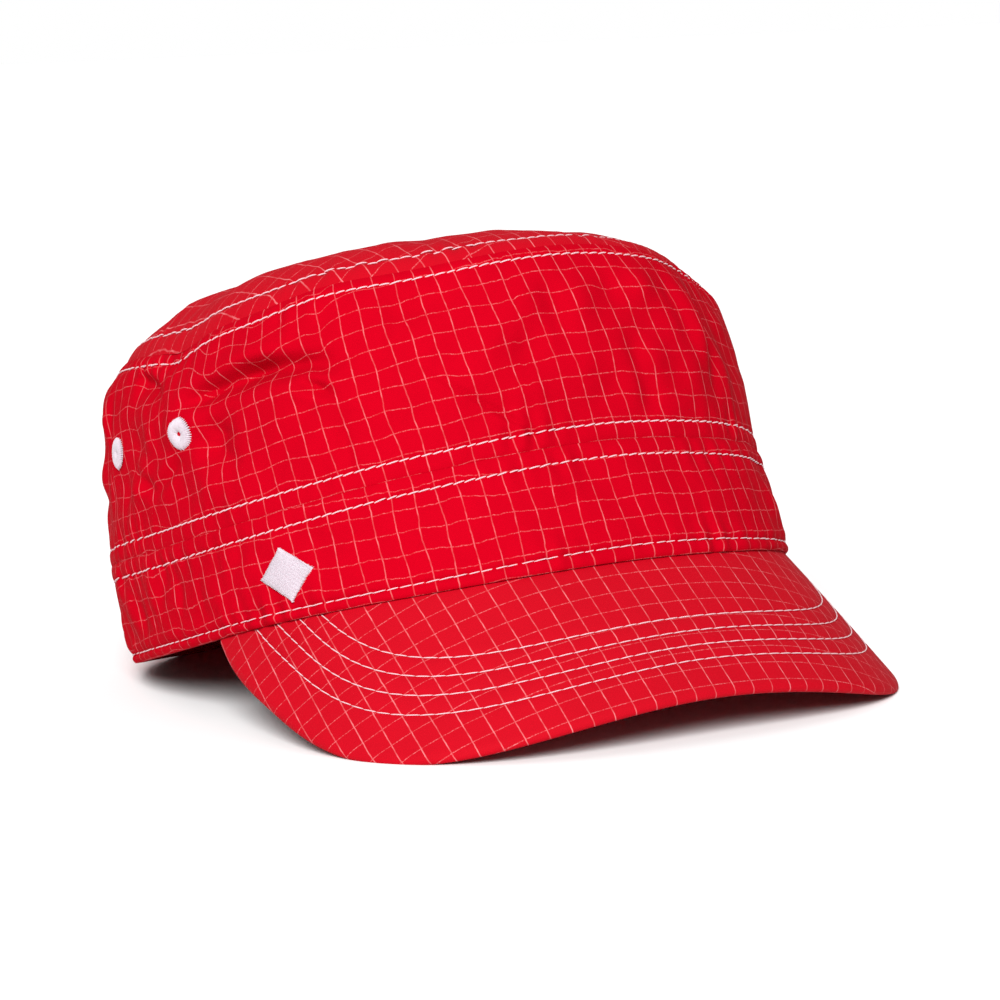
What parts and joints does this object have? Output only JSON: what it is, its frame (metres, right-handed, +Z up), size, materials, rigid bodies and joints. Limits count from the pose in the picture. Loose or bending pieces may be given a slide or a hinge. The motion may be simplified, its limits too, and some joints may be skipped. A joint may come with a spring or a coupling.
{
  "type": "castro cap",
  "caption": "Flat-topped castro cap of red grid ripstop cloth with a straight stitched band and a short curved peak, resting on a surface.",
  "frame": {"origin": "bottom centre of the resting cap's box, on the surface it rests on", "axes": "+X to the wearer's left, -Y forward past the peak, +Z up; the cap leans back as it rests on the back of its band and the low corners of its peak"},
  "size_m": [0.176, 0.2388, 0.1249],
  "materials": {
    "ripstop_red": "matt red ripstop cotton with a thin pale grid",
    "thread_white": "white satin-stitched thread"
  },
  "bodies": {
    "root": {"crown_top": "ripstop_red", "crown_side": "ripstop_red", "band": "ripstop_red", "peak": "ripstop_red", "band_patch": "thread_white", "eyelet_right_front": "thread_white", "eyelet_right_back": "thread_white", "eyelet_left_front": "thread_white", "eyelet_left_back": "thread_white"}
  },
  "joints": []
}
